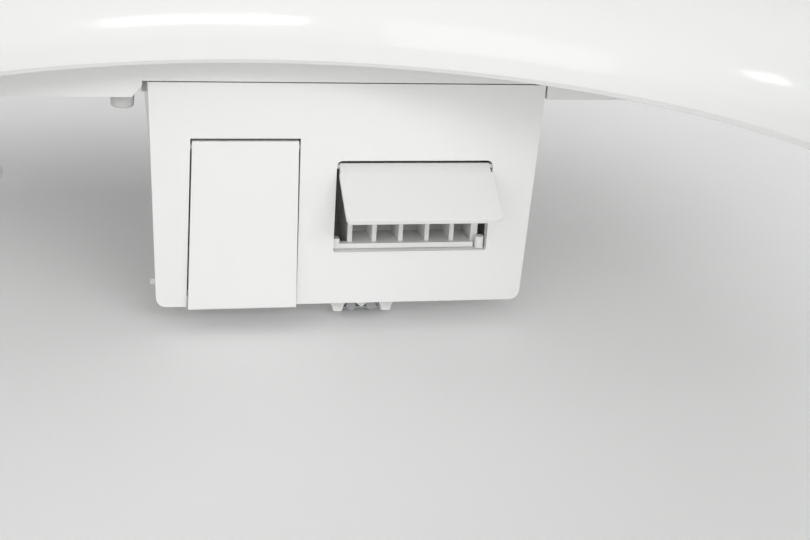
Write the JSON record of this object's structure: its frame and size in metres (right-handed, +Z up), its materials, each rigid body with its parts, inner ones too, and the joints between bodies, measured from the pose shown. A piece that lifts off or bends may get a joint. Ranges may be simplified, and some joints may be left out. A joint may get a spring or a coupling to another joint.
{
  "type": "electric bidet seat",
  "caption": "Electric bidet seat: heated seat ring and lid on one hinge line, rear unit with retracting wash nozzle behind a door, dryer outlet with flap, and rim bracket.",
  "frame": {"origin": "on the mounting face under the bracket, midway between the two fixing bolts", "axes": "+Z up, -Y towards the front of the seat, +X to the right seen from the front"},
  "size_m": [0.3952, 0.5803, 0.5636],
  "materials": {
    "gloss_white": "high gloss injection-moulded polypropylene, very light orange peel",
    "satin_white": "satin moulded ABS",
    "grey_plastic": "matte moulded plastic",
    "dark_plastic": "matte, glass filled",
    "soft_rubber": "matte elastomer",
    "steel": "brushed stainless",
    "heater_foil": "thin bright foil",
    "brass": "turned, bright",
    "dark_lens": "polished infrared window",
    "circuit_board": "solder-masked board"
  },
  "bodies": {
    "base": {"lower_case": "satin_white", "upper_case": "satin_white", "front_panel": "satin_white", "nozzle_housing": "satin_white", "dryer_grille": "satin_white", "drain_spout": "satin_white", "dryer_duct": "satin_white", "nozzle_guide": "grey_plastic", "drain_strainer": "grey_plastic", "fixing_nut_left": "grey_plastic", "fixing_nut_right": "grey_plastic", "mounting_bracket": "grey_plastic", "key_plate": "grey_plastic", "water_heater": "grey_plastic", "dryer_heater": "dark_plastic", "blower_case": "dark_plastic", "soft_close_damper_left": "dark_plastic", "soft_close_damper_right": "dark_plastic", "inlet_valve": "dark_plastic", "water_pump": "dark_plastic", "case_foot_1": "soft_rubber", "case_foot_2": "soft_rubber", "fixing_cone_left": "soft_rubber", "fixing_cone_right": "soft_rubber", "cord_gland": "soft_rubber", "nozzle_motor": "steel", "blower_motor": "steel", "hinge_pin_left": "steel", "hinge_pin_right": "steel", "fixing_bolt_left": "steel", "fixing_bolt_right": "steel", "fixing_washer_left": "steel", "fixing_washer_right": "steel", "power_transformer": "steel", "water_inlet": "brass", "occupancy_lens": "dark_lens", "control_board": "circuit_board"},
    "seat": {"seat_upper_shell": "gloss_white", "seat_lower_shell": "gloss_white", "seat_heater_foil": "heater_foil", "seat_bumper_rear_left": "soft_rubber", "seat_bumper_rear_right": "soft_rubber", "seat_bumper_front_left": "soft_rubber", "seat_bumper_front_right": "soft_rubber"},
    "lid": {"lid": "gloss_white", "lid_bumper_left": "soft_rubber", "lid_bumper_right": "soft_rubber"},
    "dryer_flap": {"dryer_flap": "satin_white"},
    "nozzle_sleeve": {"nozzle_sleeve": "satin_white"},
    "nozzle_tube": {"nozzle_tube": "steel", "nozzle_tip": "gloss_white"},
    "nozzle_door": {"nozzle_door": "satin_white"},
    "nozzle_pinion": {"nozzle_pinion": "grey_plastic"},
    "blower_rotor": {"blower_rotor": "grey_plastic"},
    "key_power": {"key_power": "gloss_white"},
    "key_wash": {"key_wash": "gloss_white"},
    "key_dry": {"key_dry": "gloss_white"},
    "key_stop": {"key_stop": "gloss_white"},
    "release_button": {"release_button": "grey_plastic"},
    "deodoriser_cartridge": {"deodoriser_cartridge": "grey_plastic"}
  },
  "joints": [
    {"name": "seat_hinge", "type": "hinge", "parent": "base", "child": "seat", "pos_m": [0, -0.002, 0.05], "axis": [-1, 0, 0], "range_deg": [0, 98]},
    {"name": "lid_hinge", "type": "hinge", "parent": "base", "child": "lid", "pos_m": [0, -0.002, 0.05], "axis": [-1, 0, 0], "range_deg": [-103, 0]},
    {"name": "dryer_flap_hinge", "type": "hinge", "parent": "base", "child": "dryer_flap", "pos_m": [0.045, -0.0986, -0.0144], "axis": [-1, 0, 0], "range_deg": [-60, 20]},
    {"name": "nozzle_slide", "type": "slide", "parent": "base", "child": "nozzle_sleeve", "axis": [0, -0.866, -0.5], "range_m": [0, 0.055]},
    {"name": "nozzle_second_stage", "type": "slide", "parent": "nozzle_sleeve", "child": "nozzle_tube", "axis": [0, -0.866, -0.5], "range_m": [0, 0.045]},
    {"name": "nozzle_door_hinge", "type": "hinge", "parent": "base", "child": "nozzle_door", "pos_m": [0, -0.0982, -0.009], "axis": [-1, 0, 0], "range_deg": [0, 84.2]},
    {"name": "nozzle_pinion_spin", "type": "hinge", "parent": "base", "child": "nozzle_pinion", "pos_m": [0, -0.00622, 0.037], "axis": [-1, 0, 0], "range_deg": [0, 631]},
    {"name": "blower_spin", "type": "hinge", "parent": "base", "child": "blower_rotor", "pos_m": [0.06, 0.054, 0.03], "axis": [0, 0, 1], "continuous": true},
    {"name": "key_power_press", "type": "slide", "parent": "base", "child": "key_power", "axis": [-1, 0, 0], "range_m": [0, 0.0012], "stiffness_N_per_m": 1500, "springref_m": -0.0006},
    {"name": "key_wash_press", "type": "slide", "parent": "base", "child": "key_wash", "axis": [-1, 0, 0], "range_m": [0, 0.0012], "stiffness_N_per_m": 1500, "springref_m": -0.0006},
    {"name": "key_dry_press", "type": "slide", "parent": "base", "child": "key_dry", "axis": [-1, 0, 0], "range_m": [0, 0.0012], "stiffness_N_per_m": 1500, "springref_m": -0.0006},
    {"name": "key_stop_press", "type": "slide", "parent": "base", "child": "key_stop", "axis": [-1, 0, 0], "range_m": [0, 0.0012], "stiffness_N_per_m": 1500, "springref_m": -0.0006},
    {"name": "release_button_press", "type": "slide", "parent": "base", "child": "release_button", "axis": [1, 0, 0], "range_m": [0, 0.003], "stiffness_N_per_m": 900, "springref_m": -0.001},
    {"name": "deodoriser_slide", "type": "slide", "parent": "base", "child": "deodoriser_cartridge", "axis": [-1, 0, 0], "range_m": [0, 0.04]}
  ],
  "couplings": [
    {"joint": "nozzle_second_stage", "follows": "nozzle_slide", "ratio": 0.818},
    {"joint": "nozzle_door_hinge", "follows": "nozzle_slide", "rad_per_m": 26.65},
    {"joint": "nozzle_pinion_spin", "follows": "nozzle_slide", "rad_per_m": 200}
  ]
}
